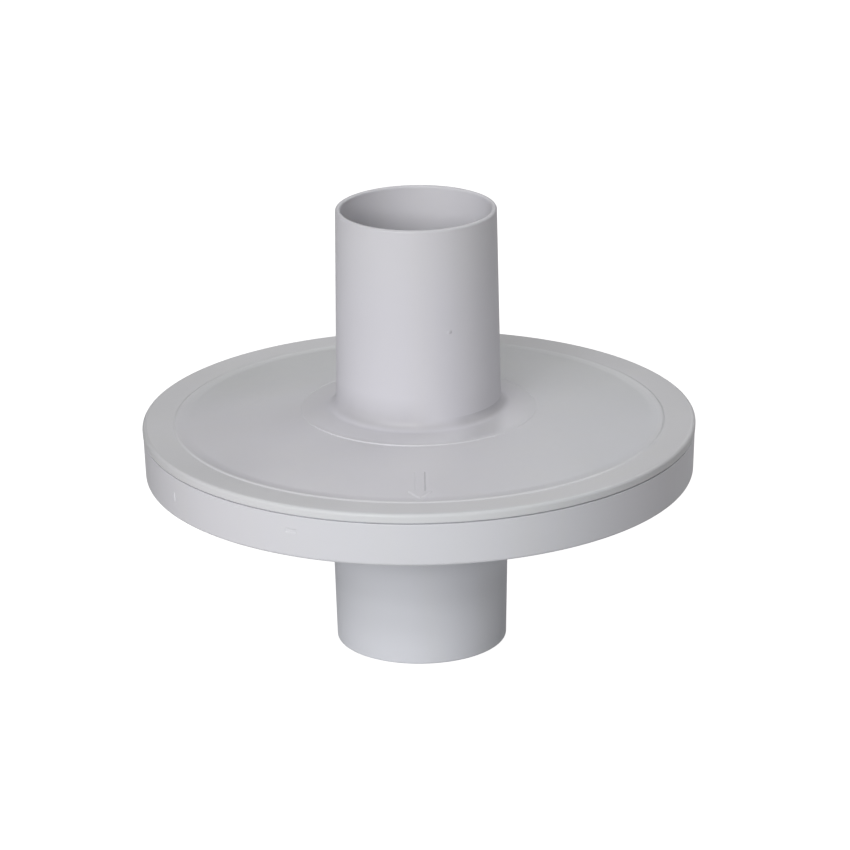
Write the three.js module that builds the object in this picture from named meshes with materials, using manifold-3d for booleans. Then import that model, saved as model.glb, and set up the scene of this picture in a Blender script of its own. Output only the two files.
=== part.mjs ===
// In-line round vent body for 75 mm ducting, the part that sits in the air pipe under a deck cowl.
// Two dished shells close on a flat disc-shaped chamber. The upper shell is a twist-lock lid with
// a plain spigot, the lower shell is the base with a socket of the same nominal size, and the
// chamber holds an insect screen, a foam pre-filter and a filter pad between two support grids.
// Units are millimetres, +Z is up, and the origin is on the axis at the end face of the lower
// socket. Azimuths are degrees from the front (-Y) towards +X; other angles are degrees from +X
// towards +Y. In the tables r is a radius and z a height; 0 and 1 mark the low and high limits.

import * as THREE from "three";
import { mergeVertices } from "three/addons/utils/BufferGeometryUtils.js";
import Module from "manifold-3d";

// ---------------------------------------------------------------- driving dimensions
const FACETS = 60; // round every full circle

// shells
const Z_LID = 109; // flat outer band of the lid
const Z_BASE = 84; // flat outer band under the base
const WALL = 2.6;
const Z_LID_INSIDE = Z_LID - WALL;
const Z_FLOOR = Z_BASE + WALL;
const R_LID = 130; // lid, over its rim
const R_LID_SEAM = 129.5; // lid at the parting line, inside its chamfer
const R_BASE_TOP = 129.6; // base wall at the parting line
const R_BASE_BOTTOM = 128.9; // base wall at its foot, after draft
const RIM_ROUND = 1.4; // outer corner of both shells
const CHAMFER = 0.4; // on the seam and tongue edges

// upper spigot, fits inside a 75 mm socket
const SPIGOT = { end: 37.5, root: 38.75, boreEnd: 35.1, boreRoot: 35.8, top: 212 };

// lower socket, takes a 75 mm duct or another unit's spigot
const SOCKET = { end: 40.2, root: 42, bore: 37.7 };
const DUCT_STOP = { bore: 35.6, z0: 48.5, height: 2.5 }; // ring the duct butts against

// dished plates
const R_CONE = 112.8; // outer edge of the coned part of each plate
const CONE_RISE = 5.4; // from the cone's outer edge to the hub pad
const R_PAD = 55; // edge of the round pad at the spigot's foot
const R_PAD_BASE = 57.6; // the same pad under the base
const PAD_STEP = 0.5;
const PAD_CHAMFER = { width: 0.3, height: 0.15 };
const PAD_RISE = 1.1; // the pad's own rise from its edge to the fillet
const FILLET = 4.5; // between hub pad and duct end
const BORE_ROUND = { radius: 6, lidZ: 118.1, baseZ: 75.1 }; // bore into plate; arc centre heights
const BEAD = { foot: 108.6, crest: 114.4, out: 115.6, height: 0.45 }; // low ring round lid's cone

// parting line, base rim and lid tongue
const Z_SEAM_LID = 104.8;
const Z_SEAM_BASE = 104.2;
const Z_LAND = 104.7; // inner land of the base rim that carries the lid
const LAND_WIDTH = 1.3;
const R_WALL_IN = 127.0;
const FOOT_CHAMFER = 1.2; // inside the base, between wall and floor
const TONGUE = { inner: 121.0, low: 123.8, seal: 126.6, foot: 90.6, step: 98.6 };
const TONGUE_CHAMFER = 0.5; // at its foot
const GROOVE = { r: 123.6, z0: 99.8, z1: 103.2 };
const RIM_SEAL = { r: 125.25, z: (GROOVE.z0 + GROOVE.z1) / 2, section: 1.5 };

// twist lock; from and to are relative to each lug position
const LUGS = 6;
const LID_LUG = { r0: 122.6, r1: 126.4, z0: 91.0, z1: 93.8, from: -12, to: 12, steps: 4 };
const BASE_LUG = { r0: 124.3, r1: 128.0, z0: 94.1, z1: 97.1, from: -15, to: 15, steps: 5 };
const STOP_LUG = { ...BASE_LUG, z0: 90.9, z1: 94.6, from: -15.5, to: -13.5, steps: 1 };

// ribs, ledge and keys
const RIBS = 12;
const RIB_PITCH = 360 / RIBS;
const RIB = { r0: 46, r1: 112, width: 2.0, start: RIB_PITCH / 2, lidZ: 104.0 };
const RIB_ROOT_INSET = 0.9; // top of the base cone to the rib's inner foot
const LEDGE = { r0: 114.5, r1: 118.5, z: 90.0 }; // carries the lower grid
const KEYS = 3;
const KEY = { r0: 117.2, r1: 120.4, z0: Z_BASE + 1, z1: 103.4, width: 6.0, start: 30 };

// support grids
const GRID = {
  r: LEDGE.r1,
  rimInner: 111.5,
  rings: [48, 80], // centre radii
  halfRing: 1.1,
  halfSpoke: 1.2,
  notchR: 116.8,
  notchWidth: 7.0,
};
const LOWER_GRID = { hub: 14, z0: 90.15, z1: 92.35 };
const UPPER_GRID = { hub: 18, z0: 101.75, z1: 103.75 };

// filter stack
const R_FILTER = 113.2;
const FILTER_PAD = { r: R_FILTER, z0: 93.7, z1: 97.2 };
const FOAM = { r: R_FILTER, z0: 97.35, z1: 99.9 };
const SCREEN = { r: 116.3, z0: 101.2, z1: 101.6 };
const EDGE_SEAL = { r0: 109.5, web: 113.4, r1: 116.5, z0: 92.5, z1: 101.1, lip: 1.0 };

// moulded marks; surface is the radius of the wall each one is measured from
const ARROW = { azimuth: 0, width: 4.6, r0: 83, r1: 103, head: 10.6, tip: 110.5, height: 0.5 };
const ARROW_ROOT = 1.2; // depth sunk into the lid
const TICK = { azimuth: -60.5, width: 1.1, z0: 92.6, z1: 96.6, surface: 129.2, proud: 0.35 };
const DIMPLE = { azimuth: -26.7, width: 5.2, height: 1.7, z: 96.9, surface: 129.3, depth: 0.35 };
const MARK_BLOCK = 2; // radial size of the blocks that make the tick and the dimple
const GATE = { azimuth: 23.6, z: 163.9, r: 0.8, surface: 38.0, proud: 0.25 };
const GATE_PIN = { length: 1.6, facets: 10 };

const WELD = 1e-4; // vertices closer than this are merged

// ---------------------------------------------------------------- helpers
const wasm = await Module();
wasm.setup();

const { degToRad, radToDeg } = THREE.MathUtils;

const vectors = (points) => points.map(([x, y]) => new THREE.Vector2(x, y));

const polar = (r, angle) => [r * Math.cos(degToRad(angle)), r * Math.sin(degToRad(angle))];

const atAzimuth = (geometry, azimuth) => geometry.rotateZ(degToRad(azimuth - 90));

// A closed ring, or a solid on the axis, from its half section given as [r, z] pairs.
function turned(section) {
  const onAxis = section[0][0] === 0 && section.at(-1)[0] === 0;
  const outline = onAxis ? section : [...section, section[0]];
  return new THREE.LatheGeometry(vectors(outline), FACETS).rotateX(Math.PI / 2);
}

const disc = ({ r, z0, z1 }) => turned([[0, z0], [r, z0], [r, z1], [0, z1]]);

// Points of an arc in the half section, between two angles, ends included.
function arc(centreR, centreZ, radius, from, to, steps) {
  return Array.from({ length: steps + 1 }, (_, i) => {
    const [dr, dz] = polar(radius, from + ((to - from) * i) / steps);
    return [centreR + dr, centreZ + dz];
  });
}

function closedShape(points) {
  const shape = new THREE.Shape(vectors(points));
  shape.closePath();
  return shape;
}

function extrude(shape, z0, z1) {
  const options = { depth: z1 - z0, bevelEnabled: false, steps: 1 };
  return new THREE.ExtrudeGeometry(shape, options).translate(0, 0, z0);
}

// Outline of a piece of ring; each edge is an arc { r, from, span, steps }.
function sector(inner, outer) {
  const along = ({ r, from, span, steps }, i) => polar(r, from + (span * i) / steps);
  const points = [along(inner, 0)];
  for (let i = 0; i <= outer.steps; i++) points.push(along(outer, i));
  for (let i = inner.steps; i >= 1; i--) points.push(along(inner, i));
  return points;
}

function lugAt(lug, angle) {
  const edge = { from: angle + lug.from, span: lug.to - lug.from, steps: lug.steps };
  const outline = sector({ r: lug.r0, ...edge }, { r: lug.r1, ...edge });
  return extrude(closedShape(outline), lug.z0, lug.z1);
}

// A radial web of the given width standing on its half section, given as [r, z] pairs.
function web(section, width, angle) {
  return extrude(new THREE.Shape(vectors(section)), -width / 2, width / 2)
    .rotateX(Math.PI / 2)
    .rotateZ(degToRad(angle));
}

// Uses up the geometry it is given.
function solid(geometry) {
  geometry.deleteAttribute("normal");
  geometry.deleteAttribute("uv");
  const welded = mergeVertices(geometry, WELD);
  const vertProperties = new Float32Array(welded.attributes.position.array);
  const triVerts = new Uint32Array(welded.index.array);
  const build = () => new wasm.Manifold(new wasm.Mesh({ numProp: 3, vertProperties, triVerts }));

  const made = build();
  if (made.volume() >= 0) return made;
  // The section ran the other way round, so every face is turned over.
  for (let i = 0; i < triVerts.length; i += 3) {
    [triVerts[i + 1], triVerts[i + 2]] = [triVerts[i + 2], triVerts[i + 1]];
  }
  return build();
}

function geometryOf(manifold) {
  const { vertProperties, triVerts } = manifold.getMesh();
  const geometry = new THREE.BufferGeometry();
  geometry.setAttribute(
    "position",
    new THREE.BufferAttribute(new Float32Array(vertProperties), 3),
  );
  geometry.setIndex(new THREE.BufferAttribute(new Uint32Array(triVerts), 1));
  geometry.computeVertexNormals();
  return geometry;
}

// Adds evenly spaced features; each maker returns its geometry for a given angle.
function addAround(body, count, start, ...makers) {
  let result = body;
  for (let i = 0; i < count; i++) {
    const angle = (i * 360) / count + start;
    for (const make of makers) result = result.add(solid(make(angle)));
  }
  return result;
}

const addRibs = (body, section) =>
  addAround(body, RIBS, RIB.start, (angle) => web(section, RIB.width, angle));

// Height of the lid's coned surface.
const lidConeZ = (r) => Z_LID + (CONE_RISE * (R_CONE - r)) / (R_CONE - R_PAD);

// ---------------------------------------------------------------- upper shell
// Up the outside from the seam, over the spigot, down the bore and round the tongue.
function lidSection() {
  const padZ = Z_LID + CONE_RISE + PAD_STEP;
  const { radius, lidZ } = BORE_ROUND;
  return [
    [R_LID_SEAM, Z_SEAM_LID],
    [R_LID_SEAM + CHAMFER, Z_SEAM_LID + CHAMFER],
    ...arc(R_LID - RIM_ROUND, Z_LID - RIM_ROUND, RIM_ROUND, 0, 90, 4),
    // bead, cone and hub pad
    [BEAD.out, Z_LID],
    [BEAD.crest + 0.2, Z_LID + BEAD.height],
    [BEAD.crest - 0.8, Z_LID + BEAD.height],
    [BEAD.foot, lidConeZ(BEAD.foot)],
    [R_PAD + PAD_CHAMFER.width, Z_LID + CONE_RISE],
    [R_PAD, padZ - PAD_CHAMFER.height],
    // spigot, with both edges of its end chamfered
    ...arc(SPIGOT.root + FILLET, padZ + PAD_RISE + FILLET, FILLET, 270, 180, 5),
    [SPIGOT.end + 0.05, SPIGOT.top - 0.9],
    [SPIGOT.end - 0.6, SPIGOT.top],
    [SPIGOT.boreEnd + 0.7, SPIGOT.top],
    [SPIGOT.boreEnd, SPIGOT.top - 0.8],
    ...arc(SPIGOT.boreRoot + radius, lidZ, radius, 180, 264, 4),
    // underside of the plate
    [RIB.r1 + 0.5, Z_LID_INSIDE],
    [TONGUE.inner, Z_LID_INSIDE],
    // tongue, with the seal groove in its thicker upper part
    [TONGUE.inner, TONGUE.foot],
    [TONGUE.low - TONGUE_CHAMFER, TONGUE.foot],
    [TONGUE.low, TONGUE.foot + TONGUE_CHAMFER],
    [TONGUE.low, TONGUE.step],
    [TONGUE.seal - CHAMFER, TONGUE.step],
    [TONGUE.seal, TONGUE.step + CHAMFER],
    [TONGUE.seal, GROOVE.z0],
    [GROOVE.r, GROOVE.z0],
    [GROOVE.r, GROOVE.z1],
    [TONGUE.seal, GROOVE.z1],
    [TONGUE.seal, Z_SEAM_LID],
  ];
}

// Raised arrow on the coned plate at the front, pointing out at the rim.
function indexArrow() {
  const { r0, r1, tip, width, head, height, azimuth } = ARROW;
  const outline = [
    [r0, -width / 2],
    [r1, -width / 2],
    [r1, -head / 2],
    [tip, 0],
    [r1, head / 2],
    [r1, width / 2],
    [r0, width / 2],
  ];
  const middle = (r0 + tip) / 2;
  const arrow = extrude(closedShape(outline), -ARROW_ROOT, height)
    .translate(-middle, 0, 0)
    .rotateY(Math.atan(CONE_RISE / (R_CONE - R_PAD)))
    .translate(middle, 0, lidConeZ(middle));
  return atAzimuth(arrow, azimuth);
}

// Small round gate mark on the spigot.
function gateMark() {
  const { r, surface, proud, z, azimuth } = GATE;
  const pin = new THREE.CylinderGeometry(r, r, GATE_PIN.length, GATE_PIN.facets)
    .rotateZ(Math.PI / 2)
    .translate(surface + proud - GATE_PIN.length / 2, 0, z);
  return atAzimuth(pin, azimuth);
}

function upperShell() {
  const ribSection = [
    [RIB.r0, RIB.lidZ],
    [RIB.r1, RIB.lidZ],
    [RIB.r1, Z_LID - WALL / 2],
    [RIB.r0, lidConeZ(RIB.r0) - WALL / 2],
  ];
  let shell = solid(turned(lidSection()));
  shell = addAround(shell, LUGS, 0, (angle) => lugAt(LID_LUG, angle));
  shell = addRibs(shell, ribSection);
  shell = shell.add(solid(indexArrow())).add(solid(gateMark()));
  return geometryOf(shell);
}

// ---------------------------------------------------------------- lower shell
// Up the outside from the socket's end to the rim, then down the inside and the bore.
function baseSection() {
  const padZ = Z_BASE - CONE_RISE - PAD_STEP;
  const stopTop = DUCT_STOP.z0 + DUCT_STOP.height;
  const { radius, baseZ } = BORE_ROUND;
  return [
    // socket, hub pad and cone
    [SOCKET.end - 0.5, 0],
    [SOCKET.end, 0.6],
    ...arc(SOCKET.root + FILLET, padZ - PAD_RISE - FILLET, FILLET, 180, 90, 5),
    [R_PAD_BASE, padZ + PAD_CHAMFER.height],
    [R_PAD_BASE + PAD_CHAMFER.width, Z_BASE - CONE_RISE],
    [R_CONE, Z_BASE],
    // wall and stepped rim
    ...arc(R_BASE_BOTTOM - RIM_ROUND, Z_BASE + RIM_ROUND, RIM_ROUND, 270, 360, 4),
    [R_BASE_TOP, Z_SEAM_BASE - CHAMFER],
    [R_BASE_TOP - 0.35, Z_SEAM_BASE],
    [R_WALL_IN + LAND_WIDTH, Z_SEAM_BASE],
    [R_WALL_IN + LAND_WIDTH, Z_LAND],
    [R_WALL_IN + CHAMFER, Z_LAND],
    [R_WALL_IN, Z_LAND - CHAMFER],
    [R_WALL_IN, Z_FLOOR + FOOT_CHAMFER],
    [R_WALL_IN - FOOT_CHAMFER, Z_FLOOR],
    // ledge on the floor
    [LEDGE.r1, Z_FLOOR],
    [LEDGE.r1, LEDGE.z],
    [LEDGE.r0, LEDGE.z],
    [LEDGE.r0, Z_FLOOR],
    [RIB.r1, Z_FLOOR],
    // bore and duct stop
    ...arc(SOCKET.bore + 0.1 + radius, baseZ, radius, 96, 180, 4),
    [SOCKET.bore + 0.1, stopTop],
    [DUCT_STOP.bore, stopTop - 0.5],
    [DUCT_STOP.bore, DUCT_STOP.z0],
    [SOCKET.bore, DUCT_STOP.z0],
    [SOCKET.bore, 1.2],
    [SOCKET.bore + 0.8, 0],
  ];
}

// Raised upright tick on the outside of the wall.
function tickMark() {
  const { azimuth, width, z0, z1, surface, proud } = TICK;
  const block = new THREE.BoxGeometry(MARK_BLOCK, width, z1 - z0);
  return atAzimuth(block.translate(surface + proud - MARK_BLOCK / 2, 0, (z0 + z1) / 2), azimuth);
}

// Cutter for the shallow oblong dimple on the outside of the wall.
function dimpleCutter() {
  const { azimuth, width, height, z, surface, depth } = DIMPLE;
  const block = new THREE.BoxGeometry(MARK_BLOCK, width, height);
  return atAzimuth(block.translate(surface - depth + MARK_BLOCK / 2, 0, z), azimuth);
}

function lowerShell() {
  const ribSection = [
    [RIB.r0, Z_BASE - CONE_RISE + RIB_ROOT_INSET],
    [RIB.r1, Z_BASE + WALL / 2],
    [RIB.r1, LEDGE.z],
    [RIB.r0, LEDGE.z],
  ];
  const keySection = [
    [KEY.r0, KEY.z0],
    [KEY.r1, KEY.z0],
    [KEY.r1, KEY.z1],
    [KEY.r0, KEY.z1],
  ];
  const baseLug = (angle) => lugAt(BASE_LUG, angle);
  const stopLug = (angle) => lugAt(STOP_LUG, angle);
  let shell = solid(turned(baseSection()));
  shell = addAround(shell, LUGS, 0, baseLug, stopLug);
  shell = addRibs(shell, ribSection);
  shell = addAround(shell, KEYS, KEY.start, (angle) => web(keySection, KEY.width, angle));
  shell = shell.add(solid(tickMark())).subtract(solid(dimpleCutter()));
  return geometryOf(shell);
}

// ---------------------------------------------------------------- support grids
// Circle with a notch for each key.
function gridOutline() {
  const halfNotch = radToDeg(GRID.notchWidth / 2 / GRID.r);
  const points = [];
  for (let k = 0; k < KEYS; k++) {
    const angle = (k * 360) / KEYS + KEY.start;
    points.push(polar(GRID.notchR, angle - halfNotch));
    points.push(polar(GRID.notchR, angle + halfNotch));
    points.push(polar(GRID.r, angle + halfNotch));
    for (let i = 1; i < FACETS / KEYS; i++) {
      points.push(polar(GRID.r, angle + (i * 360) / FACETS));
    }
    points.push(polar(GRID.r, angle + 360 / KEYS - halfNotch));
  }
  return points;
}

// Opening between the spoke at the given angle and the next one.
function gridOpening(r0, r1, spokeAngle, innerSteps, outerSteps) {
  const edge = (r, steps) => {
    const halfSpoke = radToDeg(GRID.halfSpoke / r);
    return { r, from: spokeAngle + halfSpoke, span: RIB_PITCH - 2 * halfSpoke, steps };
  };
  const hole = new THREE.Path(vectors(sector(edge(r0, innerSteps), edge(r1, outerSteps))));
  hole.closePath();
  return hole;
}

// Flat moulded grid: rim, two rings and twelve spokes round a closed hub.
function grid({ hub, z0, z1 }) {
  const [innerRing, outerRing] = GRID.rings;
  const half = GRID.halfRing;
  const bands = [
    // r0, r1, facets on the inner edge, facets on the outer edge
    [hub, innerRing - half, 1, 2],
    [innerRing + half, outerRing - half, 4, 4],
    [outerRing + half, GRID.rimInner, 4, 4],
  ];
  const shape = closedShape(gridOutline());
  for (const [r0, r1, innerSteps, outerSteps] of bands) {
    for (let k = 0; k < RIBS; k++) {
      const spokeAngle = k * RIB_PITCH + RIB.start;
      shape.holes.push(gridOpening(r0, r1, spokeAngle, innerSteps, outerSteps));
    }
  }
  return extrude(shape, z0, z1);
}

// ---------------------------------------------------------------- seals
// Channel section, open towards the axis.
function edgeSeal() {
  const { r0, web: webR, r1, z0, z1, lip } = EDGE_SEAL;
  return turned([
    [r0, z0],
    [r1, z0],
    [r1, z1],
    [r0, z1],
    [r0, z1 - lip],
    [webR, z1 - lip],
    [webR, z0 + lip],
    [r0, z0 + lip],
  ]);
}

// Eight-sided section, in the groove of the lid's tongue.
const rimSeal = () => turned(arc(RIM_SEAL.r, RIM_SEAL.z, RIM_SEAL.section, 0, 315, 7));

// ---------------------------------------------------------------- materials
const standard = (settings) => new THREE.MeshStandardMaterial(settings);
const shellPlastic = standard({ color: 0xd6d6da, roughness: 0.5, metalness: 0 });
const gridPlastic = standard({ color: 0xc9cacd, roughness: 0.55, metalness: 0 });
const rubber = standard({ color: 0x2b2c2e, roughness: 0.8, metalness: 0 });
const blackFoam = standard({ color: 0x3a3c3f, roughness: 0.95, metalness: 0 });
const felt = standard({ color: 0xe6e4dc, roughness: 0.95, metalness: 0 });
const steel = standard({ color: 0xb4b6b8, roughness: 0.35, metalness: 1 });

// ---------------------------------------------------------------- assembly
function part(name, geometry, material) {
  const mesh = new THREE.Mesh(geometry, material);
  mesh.name = name;
  return mesh;
}

const base = new THREE.Group();
base.add(
  part("lower_shell", lowerShell(), shellPlastic),
  part("lower_grid", grid(LOWER_GRID), gridPlastic),
  part("edge_seal", edgeSeal(), rubber),
  part("filter_pad", disc(FILTER_PAD), felt),
  part("foam_prefilter", disc(FOAM), blackFoam),
  part("insect_screen", disc(SCREEN), steel),
  part("upper_grid", grid(UPPER_GRID), gridPlastic),
);

const lid = new THREE.Group();
lid.add(
  part("upper_shell", upperShell(), shellPlastic),
  part("rim_seal", rimSeal(), rubber),
);

const vent = new THREE.Group();
vent.add(base, lid);

export default vent;
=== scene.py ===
import math

import bpy
import numpy as np
from mathutils import Matrix, Vector


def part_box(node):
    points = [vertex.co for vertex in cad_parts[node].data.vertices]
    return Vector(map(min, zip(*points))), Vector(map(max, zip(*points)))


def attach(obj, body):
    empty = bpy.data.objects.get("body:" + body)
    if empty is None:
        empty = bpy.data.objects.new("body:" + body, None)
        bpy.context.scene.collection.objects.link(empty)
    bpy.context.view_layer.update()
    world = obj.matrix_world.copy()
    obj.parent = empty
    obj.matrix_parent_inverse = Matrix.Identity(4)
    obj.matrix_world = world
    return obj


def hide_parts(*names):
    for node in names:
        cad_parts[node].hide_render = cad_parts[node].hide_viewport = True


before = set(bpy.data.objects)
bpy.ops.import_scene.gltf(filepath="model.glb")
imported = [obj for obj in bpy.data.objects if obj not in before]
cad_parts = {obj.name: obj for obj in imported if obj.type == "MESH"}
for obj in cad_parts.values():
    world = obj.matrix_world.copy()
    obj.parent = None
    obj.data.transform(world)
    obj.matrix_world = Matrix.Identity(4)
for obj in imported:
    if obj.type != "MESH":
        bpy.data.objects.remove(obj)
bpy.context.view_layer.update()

MM = 0.001
FRONT = -90.0  # heading of azimuth 0: azimuths run from -Y towards +X, in degrees


def spread(count, first):
    """Azimuths of evenly spaced features."""
    return [first + 360.0 / count * i for i in range(count)]


# ------------------------------------------------------------------ shared sizes

upper_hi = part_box("upper_shell")[1]
Z_TOP = upper_hi.z / MM
R_LID = upper_hi.x / MM
Z_LID = 109.0  # the lid's flat outer band
RIB_AZIMUTHS = spread(12, 105.0)
LUG_AZIMUTHS = spread(6, 90.0)
KEY_AZIMUTHS = spread(3, 120.0)

# the upper tube is the spigot, the lower one the socket
SPIGOT_FOOT_R = 38.76
SOCKET_FOOT_R = 42.0
FOOT_FILLET = 4.5
PAD_SLOPE = 0.0937  # rise per mm of the pads round the tubes' feet
# a small round gate mark on the spigot; wall_r is the spigot's radius there
GATE = dict(azimuth=22.9, z=162.6, wall_r=38.1, radius=0.75, height=0.22)


# ------------------------------------------------------------------ sections


def run_in(end, direction, room):
    """A point just past an arc's end, along the straight side, if there is room for one."""
    if room <= 0.3:
        return []
    return [tuple(end + direction * min(0.12, 0.2 * room))]


def rounded(points):
    """A closed section from (r, z, corner radius) triples, with each corner made an arc."""
    count = len(points)
    out = []
    for i in range(count):
        before, corner, after = (
            np.array(points[(i + k) % count][:2], float) for k in (-1, 0, 1)
        )
        radius = points[i][2]
        back, ahead = before - corner, after - corner
        back_len, ahead_len = np.linalg.norm(back), np.linalg.norm(ahead)
        back, ahead = back / back_len, ahead / ahead_len
        angle = math.acos(max(-1.0, min(1.0, float(back @ ahead))))
        if radius <= 0 or angle > math.pi - 0.02:
            out.append(tuple(corner))
            continue
        trim = min(radius / math.tan(angle / 2), 0.49 * back_len, 0.49 * ahead_len)
        radius = trim * math.tan(angle / 2)
        middle = (back + ahead) / np.linalg.norm(back + ahead)
        centre = corner + middle * (radius / math.sin(angle / 2))
        start, end = corner + back * trim, corner + ahead * trim
        start_angle = math.atan2(*(start - centre)[::-1])
        end_angle = math.atan2(*(end - centre)[::-1])
        sweep = (end_angle - start_angle + math.pi) % (2 * math.pi) - math.pi
        steps = max(4, int(abs(sweep) / math.radians(7 if radius > 3 else 13)))
        out += run_in(start, back, back_len - trim)
        for k in range(steps + 1):
            turn = start_angle + sweep * k / steps
            out.append((centre[0] + radius * math.cos(turn), centre[1] + radius * math.sin(turn)))
        out += run_in(end, ahead, ahead_len - trim)
    return out


def add_rows(section, r_min, r_max, min_rise, rows):
    """Adds points at two heights to the long, steep sides within a band of radii."""
    out = []
    for start, end in zip(section, section[1:] + section[:1]):
        out.append(start)
        radii = (start[0], end[0])
        rise = end[1] - start[1]
        if min(radii) > r_min and max(radii) < r_max and abs(rise) > min_rise:
            for z in sorted(rows, reverse=rise <= 0):
                out.append((start[0] + (end[0] - start[0]) * ((z - start[1]) / rise), z))
    return out


def refine(section, zones, coarse=9.0):
    """Splits each side of a closed section so that none is longer than its zone allows.

    zones holds rows of (r from, r to, z from, z to, longest side); the first to match counts.
    """

    def longest(radius, z):
        for r_from, r_to, z_from, z_to, step in zones:
            if r_from <= radius <= r_to and z_from <= z <= z_to:
                return step
        return coarse

    out = []
    count = len(section)
    for i in range(count):
        start, end = np.array(section[i]), np.array(section[(i + 1) % count])
        length = np.linalg.norm(end - start)
        pieces = 1
        for point in (start, (start + end) / 2, end):
            pieces = max(pieces, int(math.ceil(length / longest(*point))))
        out += [tuple(start + (end - start) * k / pieces) for k in range(pieces)]
    return out


def turns(coarse, bands):
    """Azimuths round the circle, `coarse` apart, with finer bands (from, to, step) in order."""
    out = []
    at = -180.0
    spans = []
    for start, end, step in bands:
        spans += [(at, start, coarse), (start, end, step)]
        at = end
    spans.append((at, 180.0, coarse))
    for start, end, step in spans:
        count = max(1, round((end - start) / step))
        out += [start + (end - start) * k / count for k in range(count)]
    return np.array(out)


# ------------------------------------------------------------------ meshes


def shade(ob, smooth_deg=38.0):
    mesh = ob.data
    mesh.polygons.foreach_set("use_smooth", np.ones(len(mesh.polygons), bool))
    mesh.set_sharp_from_angle(angle=math.radians(smooth_deg))
    mesh.update()


def make(name, verts, faces, smooth_deg=38.0):
    mesh = bpy.data.meshes.new(name)
    mesh.from_pydata((np.asarray(verts, float) * MM).tolist(), [], faces)
    mesh.validate()
    ob = bpy.data.objects.new(name, mesh)
    bpy.context.scene.collection.objects.link(ob)
    shade(ob, smooth_deg)
    return ob


def outward(verts, faces):
    """Faces of a closed mesh, turned to look outwards."""
    verts = np.asarray(verts, float)
    volume = 0.0
    for face in faces:
        corners = verts[list(face)]
        for k in range(1, len(face) - 1):
            volume += np.dot(corners[0], np.cross(corners[k], corners[k + 1]))
    return faces if volume > 0 else [tuple(reversed(face)) for face in faces]


def point_at(radius, z, azimuth, offset=0.0):
    """A point from its radius, height and azimuth, moved sideways by offset."""
    turn = math.radians(azimuth + FRONT)
    cos, sin = math.cos(turn), math.sin(turn)
    return (radius * cos - offset * sin, radius * sin + offset * cos, z)


def lathe(section, azimuths, warp=None):
    """A closed ring turned from a closed section.

    warp(radius, z, azimuth) gives the radial and vertical shift of each point.
    """
    radii = np.array([point[0] for point in section])
    heights = np.array([point[1] for point in section])
    azimuths = np.asarray(azimuths)
    radius, azimuth = np.meshgrid(radii, azimuths)
    z, _ = np.meshgrid(heights, azimuths)
    if warp is not None:
        shift_r, shift_z = warp(radius, z, azimuth)
        radius, z = radius + shift_r, z + shift_z
    turn = np.radians(azimuth + FRONT)
    verts = np.stack([radius * np.cos(turn), radius * np.sin(turn), z], -1).reshape(-1, 3)
    turned, size = len(azimuths), len(radii)
    i, j = np.meshgrid(np.arange(turned), np.arange(size), indexing="ij")
    next_i, next_j = (i + 1) % turned, (j + 1) % size
    corners = [i * size + j, next_i * size + j, next_i * size + next_j, i * size + next_j]
    quads = np.stack(corners, -1).reshape(-1, 4)
    area = sum(
        radii[k] * heights[(k + 1) % size] - radii[(k + 1) % size] * heights[k]
        for k in range(size)
    )
    if area <= 0:
        quads = quads[:, ::-1]
    return verts, quads.tolist()


def capped_faces(turned, size):
    """Faces of a turned solid: a bottom and a top pole, then `turned` columns of `size` points."""
    faces = []
    for i in range(turned):
        here, beside = 2 + i * size, 2 + ((i + 1) % turned) * size
        faces.append((0, beside, here))
        faces.append((1, here + size - 1, beside + size - 1))
        faces += [
            (here + k, beside + k, beside + k + 1, here + k + 1) for k in range(size - 1)
        ]
    return faces


def ring_block(radii, heights, azimuths, step=1.5):
    """A closed block of ring between two radii, heights and azimuths."""
    (r_in, r_out), (low, high), (start, end) = radii, heights, azimuths
    count = max(1, int(math.ceil((end - start) / step)))
    verts = []
    for k in range(count + 1):
        for radius, z in ((r_in, low), (r_out, low), (r_out, high), (r_in, high)):
            verts.append(point_at(radius, z, start + (end - start) * k / count))
    faces = [(3, 2, 1, 0), tuple(count * 4 + j for j in range(4))]
    for k in range(count):
        for j in range(4):
            here, beside = k * 4 + j, k * 4 + (j + 1) % 4
            faces.append((here, beside, beside + 4, here + 4))
    return verts, outward(verts, faces)


def prism(verts):
    """A closed prism from the points of one end followed by those of the other."""
    count = len(verts) // 2
    faces = [tuple(range(count)), tuple(reversed(range(count, 2 * count)))]
    for k in range(count):
        beside = (k + 1) % count
        faces.append((k, k + count, beside + count, beside))
    return verts, outward(verts, faces)


def web(section, width, azimuth, taper=0.0):
    """A radial web from a section of (r, z) points, thinner towards its low side by taper."""
    heights = [point[1] for point in section]
    low, high = min(heights), max(heights)
    verts = []
    for side in (-1, 1):
        for radius, z in section:
            offset = side * (width / 2 - taper * (high - z) / (high - low))
            verts.append(point_at(radius, z, azimuth, offset))
    return prism(verts)


def block(radii, heights, width, azimuth):
    """A radial web with a rectangular section."""
    (r_in, r_out), (low, high) = radii, heights
    return web([(r_in, low), (r_out, low), (r_out, high), (r_in, high)], width, azimuth)


def merged(*parts):
    verts, faces = [], []
    for part_verts, part_faces in parts:
        first = len(verts)
        verts += [tuple(point) for point in part_verts]
        faces += [tuple(index + first for index in face) for face in part_faces]
    return verts, faces


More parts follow.
